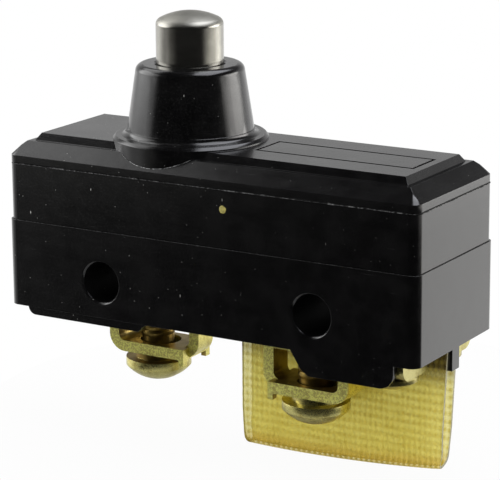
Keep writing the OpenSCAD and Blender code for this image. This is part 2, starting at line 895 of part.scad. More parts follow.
// Snap blade: a flat tongue between two bowed leaves
module blade(back) {
  leaf_x0 = pivot_x + leaf_start;
  leaf_x1 = contact_x - leaf_end;
  span = leaf_x1 - leaf_x0;
  bow_r = (span * span / 4 + leaf_sag * leaf_sag) / (2 * leaf_sag);
  leaf_w = blade_w / 4;
  tongue = leaf_w * tongue_part;
  color("#b5763a")
    in_row(back)
      difference() {
        union() {
          block([pivot_x - blade_tail, -blade_w / 2, blade_under],
                [leaf_x0 + leaf_root, blade_w / 2, blade_top]);
          block([leaf_x1 - leaf_root, -blade_w / 2, blade_under],
                [contact_x + contact_d / 2, blade_w / 2, blade_top]);
          block([leaf_x0, -tongue, blade_under], [leaf_x1, tongue, blade_top]);
          for (y = [-blade_w / 2, blade_w / 2 - leaf_w])
            side_plate(y, y + leaf_w)
              intersection() {
                translate([(leaf_x0 + leaf_x1) / 2, blade_z + bow_r - leaf_sag])
                  difference() {
                    circle(bow_r + blade_t / 2, $fn = 360);
                    circle(bow_r - blade_t / 2, $fn = 360);
                  }
                translate([leaf_x0, blade_z - 2 * leaf_sag])
                  square([span, 2 * leaf_sag + blade_t / 2]);
              }
        }
        translate([contact_x, 0, 0])
          rod(shank_d + 2 * fit, blade_under - cut, blade_top + cut);
      }
}

// Double-sided contact at the blade's free end
module moving_contact(back) {
  color("#d2d2cc")
    in_row(back)
      translate([contact_x, 0, 0]) {
        rod(contact_d, blade_under - contact_t, blade_under - fit / 5);
        rod(contact_d, blade_top + fit / 5, blade_top + contact_t);
        rod(shank_d, blade_under - contact_t / 2, blade_top + contact_t / 2);
      }
}

// Hole for a screw with play along the case
module slotted_hole(x0, x1, z0, z1) {
  for (x = [x0, x1])
    translate([x, 0, 0])
      rod(passage_d, z0, z1);
  block([x0, -passage_d / 2, z0], [x1, passage_d / 2, z1]);
}

// Large wire clamp: a channel across the case with a full ear, a narrow ear and two corner
// tabs turned down beside the narrow ear; hand is 1 with the narrow ear to the right
module clamp(x, hand) {
  half = clamp_l / 2 - clamp_t / 2;
  z_mid = clamp_floor + clamp_t / 2;
  z_ear = z_under - ear_gap;
  color("#b9a355")
    translate([x, 0, 0])
      mirror([hand > 0 ? 0 : 1, 0, 0])
        difference() {
          union() {
            side_plate(-clamp_w / 2, clamp_w / 2)
              strip_outline([[-half, z_ear], [-half, z_mid], [tab_x, z_mid]], clamp_t, clamp_bend);
            side_plate(-ear_narrow / 2, ear_narrow / 2)
              strip_outline([[0, z_mid], [half, z_mid], [half, z_ear]], clamp_t, clamp_bend);
            both_sides()
              block([tab_x - tab_w, -clamp_w / 2, clamp_floor - tab_drop],
                    [tab_x, -clamp_w / 2 + tab_deep, z_mid]);
          }
          slotted_hole(-common_shift, -open_shift, clamp_floor - cut, z_mid + clamp_t);
        }
}

// Wire clamp of a normally closed terminal: its channel runs along the case
module closed_clamp(back) {
  half = closed_clamp_w / 2 - clamp_t / 2;
  z_mid = clamp_floor_closed + clamp_t / 2;
  z_ear = clamp_floor_closed + clamp_t + closed_ear;
  color("#b9a355")
    in_row(back)
      translate([closed_x, 0, 0])
        difference() {
          end_plate(-closed_clamp_l / 2, closed_clamp_l / 2)
            strip_outline([
              [-half, z_ear], [-half, z_mid], [half, z_mid], [half, z_ear]
            ], clamp_t, strip_bend);
          rod(passage_d, clamp_floor_closed - cut, z_ear + cut);
        }
}

// Terminal screw, head down: shank, collar, rim and slotted dome
module terminal_screw(x, z_seat, tip, collar, head, rim, dome) {
  z_rim = z_seat - fit - collar;
  z_low = z_rim - rim - dome;
  dome_r = (head * head / 4 + dome * dome) / (2 * dome);
  color("#c2ab5c")
    translate([x, 0, 0])
      difference() {
        union() {
          rod(screw_d, z_rim - cut / 2, tip);
          if (collar > 0)
            rod(collar_d, z_rim - rim / 2, z_seat - fit);
          rod(head, z_rim - rim, z_rim);
          intersection() {
            translate([0, 0, z_low + dome_r])
              sphere(dome_r, $fn = 96);
            rod(head, z_low - cut, z_rim - rim / 2);
          }
        }
        translate([0, 0, z_low])
          cube([head + cut, slot, 2 * dome * slot_part], center = true);
      }
}

// Screw of the common terminal or of a normally open one
module large_screw(x) {
  terminal_screw(x, clamp_floor, tip_top, head_collar, head_d, head_rim, head_dome);
}

// Screw of a normally closed terminal
module low_screw() {
  terminal_screw(closed_x, clamp_floor_closed, tip_closed, 0, low_head_d, low_rim, low_dome);
}

// Section of the folded sheet, drawn outwards from the far centre of its bow
module barrier_section() {
  inner = ridge_t / 2 + fit;
  outer = inner + sheet_t;
  fold = barrier_bow - outer;
  for (y = [-outer, inner])
    translate([fold - barrier_drop, y])
      square([barrier_drop, sheet_t]);
  translate([fold, 0])
    intersection() {
      difference() {
        circle(outer, $fn = 64);
        circle(inner, $fn = 64);
      }
      translate([0, -2 * outer])
        square([2 * outer, 4 * outer]);
    }
}

// Insulating sheet folded round the middle ridge, its fold hanging down
module barrier() {
  sweep = asin((barrier_x1 - barrier_x0) / barrier_bow);
  color("#d9b64a")
    intersection() {
      translate([barrier_x0 + barrier_low, 0, z_under - barrier_drop + barrier_bow])
        rotate([90, 0, 0])
          rotate([0, 0, 270 - sweep])
            rotate_extrude(angle = 2 * sweep, $fn = 1440)
              barrier_section();
      side_plate(-half_w, half_w)
        polygon([
          [barrier_x0, z_under - fit], [barrier_x1, z_under - fit],
          [barrier_x1 - barrier_lean, z_under - barrier_drop - cut],
          [barrier_x0, z_under - barrier_drop - cut]
        ]);
    }
}

base();
cover();
plunger_housing();
case_screws();
plunger();
return_spring();
overtravel_spring();
actuator();
common_terminal();
open_terminal(false);  // open_terminal_front
open_terminal(true);  // open_terminal_back
closed_terminal(false);  // closed_terminal_front
closed_terminal(true);  // closed_terminal_back
fixed_contact(z_open_face, z_open_arm, false);  // open_contact_front
fixed_contact(z_open_face, z_open_arm, true);  // open_contact_back
fixed_contact(z_closed_face, z_closed_arm, false);  // closed_contact_front
fixed_contact(z_closed_face, z_closed_arm, true);  // closed_contact_back
blade(false);  // blade_front
blade(true);  // blade_back
moving_contact(false);  // moving_contact_front
moving_contact(true);  // moving_contact_back
clamp(common_clamp_x, 1);  // common_clamp
in_row(false) clamp(open_clamp_x, -1);  // open_clamp_front
in_row(true) clamp(open_clamp_x, -1);  // open_clamp_back
closed_clamp(false);  // closed_clamp_front
closed_clamp(true);  // closed_clamp_back
large_screw(common_x);  // common_screw
in_row(false) large_screw(open_x);  // open_screw_front
in_row(true) large_screw(open_x);  // open_screw_back
in_row(false) low_screw();  // closed_screw_front
in_row(true) low_screw();  // closed_screw_back
barrier();
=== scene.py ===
import json
import math

import bmesh
import bpy
from mathutils import Matrix, Vector, noise


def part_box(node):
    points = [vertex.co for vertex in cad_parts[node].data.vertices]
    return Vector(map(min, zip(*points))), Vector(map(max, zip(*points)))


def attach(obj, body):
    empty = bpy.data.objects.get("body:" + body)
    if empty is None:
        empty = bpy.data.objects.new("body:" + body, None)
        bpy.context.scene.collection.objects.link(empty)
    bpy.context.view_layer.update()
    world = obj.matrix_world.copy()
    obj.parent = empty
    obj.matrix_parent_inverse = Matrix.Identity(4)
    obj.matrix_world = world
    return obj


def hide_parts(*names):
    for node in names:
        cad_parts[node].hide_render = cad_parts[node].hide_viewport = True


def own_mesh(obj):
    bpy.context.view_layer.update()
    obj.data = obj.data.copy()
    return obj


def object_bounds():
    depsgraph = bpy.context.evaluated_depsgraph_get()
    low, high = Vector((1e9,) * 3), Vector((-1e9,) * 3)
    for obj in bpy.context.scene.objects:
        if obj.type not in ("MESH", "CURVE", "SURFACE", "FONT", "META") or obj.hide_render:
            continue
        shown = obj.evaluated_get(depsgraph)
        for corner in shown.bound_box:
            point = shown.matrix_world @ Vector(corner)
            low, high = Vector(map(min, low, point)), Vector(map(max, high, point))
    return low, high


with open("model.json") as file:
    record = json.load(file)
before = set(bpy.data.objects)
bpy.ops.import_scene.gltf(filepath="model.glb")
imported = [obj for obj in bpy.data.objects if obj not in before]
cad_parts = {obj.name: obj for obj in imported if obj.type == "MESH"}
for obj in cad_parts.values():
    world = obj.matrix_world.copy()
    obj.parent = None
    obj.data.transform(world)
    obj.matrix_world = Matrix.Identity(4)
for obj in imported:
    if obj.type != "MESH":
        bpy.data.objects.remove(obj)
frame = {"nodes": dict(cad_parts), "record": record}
cad_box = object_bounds()
RECORD = frame["record"]
NODES = frame["nodes"]
BODY_OF = {node: body for body, nodes in RECORD["behaviour"]["bodies"].items() for node in nodes}
SLOT_OF = {part["node"]: part["material_slot"] for part in RECORD["subparts"]}
MM = 0.001
UP = Vector((0, 0, 1))


def box_mm(node):
    """Lowest and highest corners of a CAD node, in millimetres."""
    low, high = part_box(node)
    return low / MM, high / MM


# Sizes in millimetres

COVER_LOW, COVER_HIGH = box_mm("cover")
BARRIER_LOW, BARRIER_HIGH = box_mm("barrier")
MOUNTS = {mount["name"]: mount for mount in RECORD["mounts"]}
HOLE_X = MOUNTS["mounting_hole_right"]["pos_m"][0] / MM
HOLE_R = MOUNTS["mounting_hole_right"]["dims"]["r_mm"]

# Case: radius of its upright corners, and where its film of handling starts to fade and is faint, along X
CORNER_R = 1.1
HANDLED_X, CLEAN_X = -18.0, 12.0

# Vertices nearer than this are one, and the rounded edges of the pieces that show
WELD = 0.0002
CASE_EDGES = {"base": 0.05, "cover": 0.05, "plunger_housing": 0.07, "plunger": 0.05}
CLAMP_EDGE, STRIP_EDGE, SCREW_EDGE = 0.10, 0.06, 0.05

# Large terminals: drop of a clamp's corner tabs, which take painted shade, height of a screw's head, and
# bright metal above that head
TAB_DROP, HEAD_H = 0.5, 2.4
HEAD_RIM, BRIGHT_NECK = 0.2, 1.2

# How squarely a face looks inward or up in a clamp, or up on the common screw's head, to take the darker
# brass that is painted shade
FACES_IN, FACES_UP = 0.6, 0.7

# Threads: the stretch that shows, pitch, radii, and the tooth's half widths as shares of the pitch
THREAD_LOW, THREAD_HIGH, PITCH = -8.0, -4.4, 0.7
CREST_R, ROOT_R = 1.88, 1.77
CREST_HALF, ROOT_HALF = 0.08, 0.48

# Barrier: distances between its threads, the fold's bow and lowest place, its radii inside and outside
WARP, WEFT = 0.62, 0.87
FOLD_BOW, FOLD_LOW_X = 170.0, BARRIER_LOW.x + 4.4
FOLD_IN, FOLD_OUT = 0.85, 1.15

# Barrier: how far the fold is pinched and from how high, slope of the right edge, and its worn fold ends
FOLD_PINCH, PINCH_FROM = 0.25, 4.0
EDGE_LEAN = 0.8 / 15.1
FOLD_WORN, WORN_FROM, WORN_COLUMNS = 0.35, 1.6, 6

# Barrier: sway of the legs, full at a depth below their held tops, fray of the cut edges, and heights where
# the painted brown shade under the case starts and is full
SWAY, SWAY_DEPTH, FRAY = 0.05, 3.0, 0.03
TOP_SHADE_LOW, TOP_SHADE_HIGH = -8.3, -6.7

# Boss: the disc at its foot, and the sloped edge above the housing's upright band
BOSS_X = MOUNTS["plunger_tip"]["pos_m"][0] / MM
DISC_R = 8.25
BAND_TOP = COVER_HIGH.z + 0.9
SLOPE_H, SLOPE_RUN = 1.4, 1.55

# Beads of flash: the thickest one, how flat a seam's bead lies, and the bead round the boss's foot
BEAD_LIMIT, BEAD_FLAT, FOOT_BEAD = 0.13, 0.8, 0.045

# Dot of paint: place, radius, height of its crown, and how deep it is sunk into the front face
DOT_X, DOT_Z, DOT_R = 2.4, 9.7, 0.43
DOT_CROWN, DOT_SINK = 0.09, 0.02

# Fineness of the meshes
COLUMNS, LEG_ROWS, FOLD_ROWS = 97, 44, 14
SEAM_RINGS, FOOT_RINGS, BEAD_SIDES = 900, 90, 5
DOT_RINGS, DOT_SIDES = 6, 28
THREAD_STEPS, RUN_OUT_STEPS = 36, 8


# Nodes of materials, lights and the studio

class Nodes:
    """Short ways to add nodes to the tree of a material, a light or the world."""

    def __init__(self, tree):
        self.tree = tree

    def link(self, output, socket):
        self.tree.links.new(output, socket)

    def put(self, value, socket):
        """Sets a socket to a number or colour, or links an output to it."""
        if isinstance(value, bpy.types.NodeSocket):
            self.link(value, socket)
        else:
            socket.default_value = value

    def add(self, kind, inputs=None, **settings):
        """A new node, its inputs given by name or number."""
        made = self.tree.nodes.new(kind)
        for key, value in settings.items():
            setattr(made, key, value)
        for key, value in (inputs or {}).items():
            self.put(value, made.inputs[key])
        return made

    def math(self, operation, *values):
        return self.add("ShaderNodeMath", dict(enumerate(values)), operation=operation).outputs[0]

    def remap(self, value, low, high, out_low=0.0, out_high=1.0):
        """Eases from one level to another while the value goes from low to high."""
        inputs = {"Value": value, "From Min": low, "From Max": high, "To Min": out_low, "To Max": out_high}
        return self.add("ShaderNodeMapRange", inputs, interpolation_type="SMOOTHSTEP").outputs["Result"]

    def axis(self, name, vector):
        return self.add("ShaderNodeSeparateXYZ", {0: vector}).outputs[name]

    def blend(self, factor, first, second):
        """Mixes the first outputs of two shader nodes."""
        shaders = {0: factor, 1: first.outputs[0], 2: second.outputs[0]}
        return self.add("ShaderNodeMixShader", shaders)


class Shader(Nodes):
    """A material with a Principled shader, and the patterns that finishes are made of."""

    def __init__(self, name, **sockets):
        self.mat = bpy.data.materials.new(name)
        self.mat.use_nodes = True
        super().__init__(self.mat.node_tree)
        self.bsdf = self.tree.nodes["Principled BSDF"]
        for key, value in sockets.items():
            self.bsdf.inputs[key.replace("_", " ")].default_value = value
        place = self.add("ShaderNodeTexCoord").outputs["Object"]
        self.mm = self.stretched((1 / MM, 1 / MM, 1 / MM), place)

    def stretched(self, scale, vector=None):
        inputs = {"Scale": scale, "Vector": vector or self.mm}
        return self.add("ShaderNodeMapping", inputs).outputs["Vector"]

    def noise(self, scale, detail=3.0, rough=0.55, vector=None):
        inputs = {"Scale": scale, "Detail": detail, "Roughness": rough, "Vector": vector or self.mm}
        return self.add("ShaderNodeTexNoise", inputs).outputs["Fac"]

    def scatter(self, scale, inner, outer, chosen, vector=None):
        """Dots in some cells of a scatter, each full within an inner radius and gone past an outer one."""
        cells = self.add("ShaderNodeTexVoronoi", {"Scale": scale, "Vector": vector or self.mm})
        dots = self.remap(cells.outputs["Distance"], inner, outer, 1.0, 0.0)
        return self.math("MULTIPLY", dots, self.remap(self.axis("X", cells.outputs["Color"]), *chosen))

    def mix(self, factor, first, second):
        """Mixes two colours, each of them a triple or an output."""
        first, second = ((*v, 1.0) if isinstance(v, tuple) else v for v in (first, second))
        return self.add("ShaderNodeMix", {0: factor, 6: first, 7: second}, data_type="RGBA").outputs[2]

    def along(self, name):
        """Place along an axis of the frame, in millimetres."""
        return self.axis(name, self.mm)

    def facing(self, name):
        """How squarely a face looks along an axis, in either direction."""
        normal = self.add("ShaderNodeNewGeometry").outputs["Normal"]
        return self.math("ABSOLUTE", self.axis(name, normal))

    def bump(self, height, distance, strength, after=None):
        inputs = {"Height": height, "Distance": distance * MM, "Strength": strength}
        if after is not None:
            inputs["Normal"] = after
        return self.add("ShaderNodeBump", inputs).outputs["Normal"]

    def finished(self, colour, rough, normal):
        """Gives the shader its colour, roughness and bumps, and hands over the material."""
        for value, name in ((colour, "Base Color"), (rough, "Roughness"), (normal, "Normal")):
            self.put(value, self.bsdf.inputs[name])
        return self.mat


# Materials

def scaled(colour, share):
    """A darker or lighter shade of a colour."""
    return tuple(min(1.0, v * share) for v in colour)


def phenolic(name, tone, rough, gloss):
    """Black moulded phenolic: mottled resin, fine mould grain, a film of handling, scratches and dust."""
    s = Shader(name, Specular_IOR_Level=gloss, IOR=1.56)
    mottle = s.noise(0.35, 4)
    fine = s.noise(9, 4, 0.65)
    smear = s.noise(0.8, 3, 0.6, s.stretched((0.25, 0.25, 1.4)))
    scratch = s.noise(1.0, 2, 0.5, s.stretched((0.12, 0.12, 9.0)))
    marks = s.math("MULTIPLY", s.remap(scratch, 0.70, 0.74), s.remap(mottle, 0.48, 0.6))
    handled = s.remap(s.along("X"), HANDLED_X, CLEAN_X, 1.0, 0.2)
    film = s.math("MULTIPLY", s.remap(s.noise(5.5, 3, 0.7), 0.50, 0.72, 0.0, 0.45), handled)
    dust = s.scatter(1.7, 0.03, 0.085, (0.60, 0.64))
    lint = s.scatter(0.75, 0.02, 0.05, (0.60, 0.62), s.stretched((1.0, 1.0, 0.32)))
    off_ends = s.remap(s.facing("X"), 0.85, 0.99, 1.0, 0.15)
    specks = s.math("MULTIPLY", s.math("MAXIMUM", dust, lint), s.math("MULTIPLY", handled, off_ends))
    dark, pale = scaled((0.0022, 0.0021, 0.0023), tone), scaled((0.0060, 0.0058, 0.0060), tone)
    colour = s.mix(s.remap(mottle, 0.35, 0.7), dark, pale)
    colour = s.mix(film, colour, (0.030, 0.030, 0.029))
    colour = s.mix(s.math("MULTIPLY", marks, 0.35), colour, (0.05, 0.05, 0.05))
    colour = s.mix(specks, colour, (0.46, 0.46, 0.43))
    dull = s.math("MULTIPLY_ADD", fine, 0.03, s.remap(smear, 0.3, 0.7, rough - 0.02, rough + 0.02))
    dull = s.math("MULTIPLY_ADD", specks, 0.4, dull)
    return s.finished(colour, dull, s.bump(fine, 0.0042, 0.6, s.bump(mottle, 0.02, 0.5)))


def turned_steel(name, colour, rough, crown):
    """Turned steel: fine rings round the axis, a little staining, and a duller tumbled crown."""
    s = Shader(name, Metallic=1.0)
    rings = s.noise(1.0, 4, 0.7, s.stretched((0.4, 0.4, 26.0)))
    stain = s.noise(0.7, 4, 0.6)
    tone = s.mix(s.remap(stain, 0.3, 0.7), scaled(colour, 0.86), colour)
    dull = s.math("MULTIPLY_ADD", stain, 0.05, s.remap(rings, 0.25, 0.75, rough - 0.04, rough + 0.05))
    dull = s.math("ADD", dull, s.remap(s.facing("Z"), 0.1, 0.5, 0.0, crown))
    return s.finished(tone, dull, s.bump(rings, 0.0006, 0.7))


def brass(name, colour, rough, cut_edges=False):
    """Brass with tarnish and rolling lines; cut edges, which face front or back, are grainy and dull."""
    s = Shader(name, Metallic=1.0)
    tarnish = s.noise(0.9, 5, 0.6)
    roll = s.noise(1.0, 3, 0.6, s.stretched((2.0, 14.0, 14.0)))
    deep = (colour[0] * 0.66, colour[1] * 0.60, colour[2] * 0.46)
    tone = s.mix(s.remap(tarnish, 0.42, 0.72), colour, deep)
    dull = s.remap(roll, 0.3, 0.7, rough - 0.06, rough + 0.08)
    normal = s.bump(roll, 0.004, 0.5)
    if cut_edges:
        edge = s.remap(s.facing("Y"), 0.75, 0.92)
        grains = s.noise(4.4, 4, 0.8)
        grit = s.mix(s.remap(grains, 0.42, 0.58), scaled(colour, 0.80), scaled(colour, 1.55))
        tone = s.mix(s.math("MULTIPLY", edge, 0.9), tone, grit)
        dull = s.math("MULTIPLY_ADD", edge, 0.32, dull)
        normal = s.bump(s.math("MULTIPLY", grains, edge), 0.09, 0.8, normal)
    return s.finished(tone, dull, normal)


def plain_metal(name, colour, rough):
    """Drawn or pressed metal of the hidden pieces, with light drawing marks."""
    s = Shader(name, Metallic=1.0)
    marks = s.noise(3.0, 4, 0.6)
    tone = s.mix(s.remap(marks, 0.3, 0.7), scaled(colour, 0.8), colour)
    return s.finished(tone, s.remap(marks, 0.25, 0.75, rough - 0.05, rough + 0.08), s.bump(marks, 0.004, 0.5))


def moulded(name, colour, rough):
    """Matte moulded insulation, also used for cut ends of glass threads."""
    s = Shader(name)
    cloud = s.noise(1.2, 4)
    tone = s.mix(s.remap(cloud, 0.3, 0.7), scaled(colour, 0.75), colour)
    dull = s.remap(cloud, 0.3, 0.7, rough - 0.06, rough + 0.06)
    return s.finished(tone, dull, s.bump(s.noise(12, 3), 0.006, 0.5))


def weave(s):
    """Plain weave: height of the threads, and the lines between its upright and between its level threads."""
    shift = s.math("MULTIPLY", s.math("SUBTRACT", s.noise(0.30, 1), 0.5), 0.30)
    turns = [s.math("MULTIPLY", s.math("ADD", s.along(name), shift), math.pi / pitch)
             for name, pitch in (("X", WARP), ("Z", WEFT))]
    waves = [s.math("SINE", turn) for turn in turns]
    upright, level = (s.math("MULTIPLY", wave, wave) for wave in waves)
    height = s.math("MULTIPLY_ADD", s.math("MULTIPLY", *waves), 0.4, s.math("MULTIPLY", upright, level))
    return height, s.math("SUBTRACT", 1.0, upright), s.remap(level, 0.0, 0.9, 1.0, 0.0)


def height_over_fold(s):
    """Height above the barrier's bowed fold, in millimetres."""
    off = s.math("SUBTRACT", s.along("X"), FOLD_LOW_X)
    bow = s.math("MULTIPLY", s.math("MULTIPLY", off, off), 0.5 / FOLD_BOW)
    return s.math("SUBTRACT", s.math("SUBTRACT", s.along("Z"), BARRIER_LOW.z), bow)


def furrows(s, upright_lines, level_lines, over_fold):
    """Depth of the furrows: patchy, deepest where two lines cross, and in dashes along the fold."""
    grid = s.math("MULTIPLY_ADD", upright_lines, 0.28, s.math("MULTIPLY", level_lines, 0.17))
    grid = s.math("MULTIPLY_ADD", s.math("MULTIPLY", upright_lines, level_lines), 0.26, grid)
    dashes = s.math("MULTIPLY", upright_lines, s.remap(over_fold, 0.3, 1.3, 0.55, 0.0))
    patches = s.remap(s.noise(0.8, 2), 0.35, 0.65, 0.75, 1.15)
    return s.math("MINIMUM", s.math("MULTIPLY_ADD", grid, patches, dashes), 1.0)


def glass_cloth(name):
    """Yellow varnished glass cloth that lets light through, orange at its fold and with painted brown shade
    at its top, under the case.
    """
    s = Shader(name, IOR=1.45, Specular_IOR_Level=0.4)
    height, upright_lines, level_lines = weave(s)
    over_fold = height_over_fold(s)
    furrow = furrows(s, upright_lines, level_lines, over_fold)
    varnish = s.remap(s.noise(0.6, 4), 0.3, 0.7)
    gold = s.mix(varnish, (0.94, 0.84, 0.23), (0.98, 0.90, 0.30))
    gold = s.mix(s.remap(over_fold, 0.4, 2.0, 0.85, 0.0), gold, (0.90, 0.60, 0.10))
    # Painted shade: brown towards the top, under the case
    gold = s.mix(s.remap(s.along("Z"), TOP_SHADE_LOW, TOP_SHADE_HIGH, 0.0, 0.9), gold, (0.16, 0.085, 0.015))
    colour = s.mix(furrow, gold, (0.56, 0.46, 0.08))
    normal = s.bump(height, 0.05, 0.6)
    s.finished(colour, s.remap(furrow, 0.0, 1.0, 0.40, 0.30), normal)
    glow = s.mix(s.remap(furrow, 0.0, 1.0, 0.5, 0.1), colour, (0.96, 0.94, 0.70))
    through = s.add("ShaderNodeBsdfTranslucent", {"Color": glow, "Normal": normal})
    tint = s.mix(furrow, (0.97, 0.97, 0.76), (0.86, 0.80, 0.46))
    clear = s.add("ShaderNodeBsdfTransparent", {"Color": tint})
    threads = s.blend(0.40, s.bsdf, through)
    cloth = s.blend(s.remap(furrow, 0.0, 1.0, 0.57, 0.25), threads, clear)
    s.link(cloth.outputs[0], s.tree.nodes["Material Output"].inputs["Surface"])
    return s.mat


def paint(name, colour):
    """Thick dab of paint."""
    s = Shader(name)
    cloud = s.noise(4, 4)
    tone = s.mix(s.remap(cloud, 0.3, 0.7), scaled(colour, 0.6), colour)
    return s.finished(tone, s.remap(cloud, 0.3, 0.7, 0.35, 0.55), s.bump(s.noise(9, 3), 0.03, 0.7))


def flash_resin(name, tone, end_share):
    """Thin torn flash of resin, dull and in places pale; the case's ends show a share of that paleness, and
    where that share is small the dark, dull bead there is painted shade of a gap in the seam.
    """
    s = Shader(name, Specular_IOR_Level=0.12)
    torn = s.noise(4.5, 4, 0.7)
    at_ends = s.remap(s.facing("X"), 0.3, 0.7, 1.0, end_share)
    shown = s.math("MULTIPLY", s.remap(torn, 0.42, 0.66), at_ends)
    colour = s.mix(shown, (0.006, 0.006, 0.006), (tone, tone, tone))
    return s.finished(colour, s.remap(torn, 0.3, 0.7, 0.5, 0.7), s.bump(torn, 0.02, 0.6))


MATERIALS = {
    "case": phenolic("case_phenolic", tone=0.75, rough=0.165, gloss=0.5),
    "plunger": turned_steel("plunger_steel", (0.40, 0.39, 0.35), rough=0.19, crown=0.22),
    "steel": plain_metal("hidden_steel", (0.50, 0.50, 0.49), rough=0.3),
    "actuator": moulded("actuator_insulation", (0.16, 0.09, 0.06), rough=0.5),
    "brass_strip": brass("strip_brass", (0.77, 0.69, 0.215), rough=0.28, cut_edges=True),
    "brass_screw": brass("screw_brass", (0.70, 0.64, 0.24), rough=0.28),
    "spring_copper": plain_metal("blade_copper", (0.72, 0.42, 0.22), rough=0.28),
    "silver": plain_metal("contact_silver", (0.86, 0.86, 0.84), rough=0.25),
    "glass_cloth": glass_cloth("barrier_glass_cloth"),
}
# Tarnish and painted shade: dark brass for the screws' shanks, their threads and the common screw's head top
SHANK_TARNISH_AND_SHADE = brass("shank_tarnish_and_shade", (0.28, 0.20, 0.055), rough=0.40)
# Painted shade: darker brass for the clamps' inner faces, the faces that look up, and the corner tabs
SHADED_BRASS = brass("shaded_brass", (0.50, 0.38, 0.12), rough=0.34)
END_BRASS = brass("end_brass", (0.47, 0.43, 0.17), rough=0.30)
# Painted shade: darker, duller phenolic on the walls of the mounting holes
BORE_SHADE = phenolic("bore_shade_phenolic", tone=0.5, rough=0.5, gloss=0.1)
CUT_CLOTH = moulded("cloth_cut_edge", (0.40, 0.37, 0.24), rough=0.6)
PAINT = paint("dot_paint", (0.47, 0.41, 0.10))
LOWER_FLASH = flash_resin("lower_flash", tone=0.20, end_share=0.8)
# Pale flash on the front; on the ends a dark, dull bead that is painted shade of the seam's gap
UPPER_FLASH_AND_GAP_SHADE = flash_resin("upper_flash_and_gap_shade", tone=0.20, end_share=0.05)
FOOT_FLASH = flash_resin("foot_flash", tone=0.60, end_share=1.0)

for node, cad_object in NODES.items():
    cad_object.data.materials.clear()
    cad_object.data.materials.append(MATERIALS[SLOT_OF[node]])


# Geometry helpers

def new_object(name, data):
    """An object in the scene."""
    obj = bpy.data.objects.new(name, data)
    bpy.context.scene.collection.objects.link(obj)
    return obj


def new_mesh(name, bm):
    """A mesh from a bmesh, which is used up."""
    mesh = bpy.data.meshes.new(name)
    bm.to_mesh(mesh)
    bm.free()
    return mesh


def piece(name, bm, body, slot, mat=None, smooth=40.0):
    """Makes an object from a bmesh, shades it smooth up to an angle and lets it ride on a body."""
    bmesh.ops.recalc_face_normals(bm, faces=bm.faces[:])
    mesh = new_mesh(name, bm)
    mesh.materials.append(mat or MATERIALS[slot])
    mesh.polygons.foreach_set("use_smooth", [True] * len(mesh.polygons))
    mesh.set_sharp_from_angle(angle=math.radians(smooth))
    obj = new_object(name, mesh)
    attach(obj, body)
    return obj


def node_copy(node):
    """A bmesh of a CAD node, with the corners of its triangles welded."""
    bm = bmesh.new()
    bm.from_mesh(NODES[node].data)
    bmesh.ops.remove_doubles(bm, verts=bm.verts[:], dist=WELD * MM)
    return bm


def even_shading(obj):
    """Weights the shading by face area, so that flat faces stay flat up to their rounded edges."""
    mod = obj.modifiers.new("even_shading", "WEIGHTED_NORMAL")
    mod.mode = "FACE_AREA"
    mod.weight = 100
    mod.keep_sharp = True
    graph = bpy.context.evaluated_depsgraph_get()
    shaded = obj.evaluated_get(graph)
    mesh = bpy.data.meshes.new_from_object(shaded, preserve_all_data_layers=True, depsgraph=graph)
    obj.modifiers.clear()
    obj.data = mesh


def softened(node, width):
    """A copy of a CAD node with small rounded edges, in the node's place."""
    flat, sharp = math.radians(0.6), math.radians(30.0)
    bm = node_copy(node)
    bmesh.ops.dissolve_limit(bm, angle_limit=flat, verts=bm.verts[:], edges=bm.edges[:])
    edges = [e for e in bm.edges if len(e.link_faces) == 2 and e.calc_face_angle(0) > sharp]
    bmesh.ops.bevel(bm, geom=edges, offset=width * MM, offset_type="OFFSET", segments=2,
                    profile=0.6, affect="EDGES", clamp_overlap=True, loop_slide=True)
    obj = piece(node + "_body", bm, BODY_OF[node], SLOT_OF[node])
    even_shading(obj)
    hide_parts(node)
    return obj


def second_finish(obj, mat, chosen):
    """Gives the faces that are chosen by their middle and their direction another finish."""
    obj.data.materials.append(mat)
    for face in obj.data.polygons:
        if chosen(face.center / MM, face.normal):
            face.material_index = 1


def wander(x, y, z):
    """Smooth noise between -1 and 1."""
    return noise.noise(Vector((x, y, z)))


def vertex(bm, place):
    """A vertex at a place in millimetres."""
    return bm.verts.new(Vector(place) * MM)


def band(bm, first, second):
    """Faces between two rings of vertices."""
    for k in range(len(first)):
        after = (k + 1) % len(first)
        bm.faces.new((first[k], second[k], second[after], first[after]))


def capped_tube(bm, rings):
    """Faces along a row of rings, and a cap at either end."""
    for first, second in zip(rings, rings[1:]):
        band(bm, first, second)
    bm.faces.new(rings[0])
    bm.faces.new(list(reversed(rings[-1])))


# The case, plunger and brass pieces, with softened edges

def in_bore(at, way):
    """Whether a face of the base is on the wall of a mounting hole."""
    from_axis = math.hypot(abs(at.x) - HOLE_X, at.z)
    return abs(way.y) < 0.5 and from_axis < HOLE_R + CASE_EDGES["base"]


def soften_clamp(node):
    """A clamp with painted shade: darker brass inside, on faces that look up, and on the corner tabs of a
    large one.
    """
    low, high = box_mm(node)
    closed = "closed" in node
    obj = softened(node, CLAMP_EDGE)
    if closed:
        obj.data.materials[0] = END_BRASS

    def inside(at, way):
        outward = math.copysign(1, at.x - (low.x + high.x) / 2)
        on_tab = not closed and at.z < low.z + TAB_DROP
        return way.z > FACES_IN or -way.x * outward > FACES_IN or on_tab

    # painted shade on the chosen faces
    second_finish(obj, SHADED_BRASS, inside)


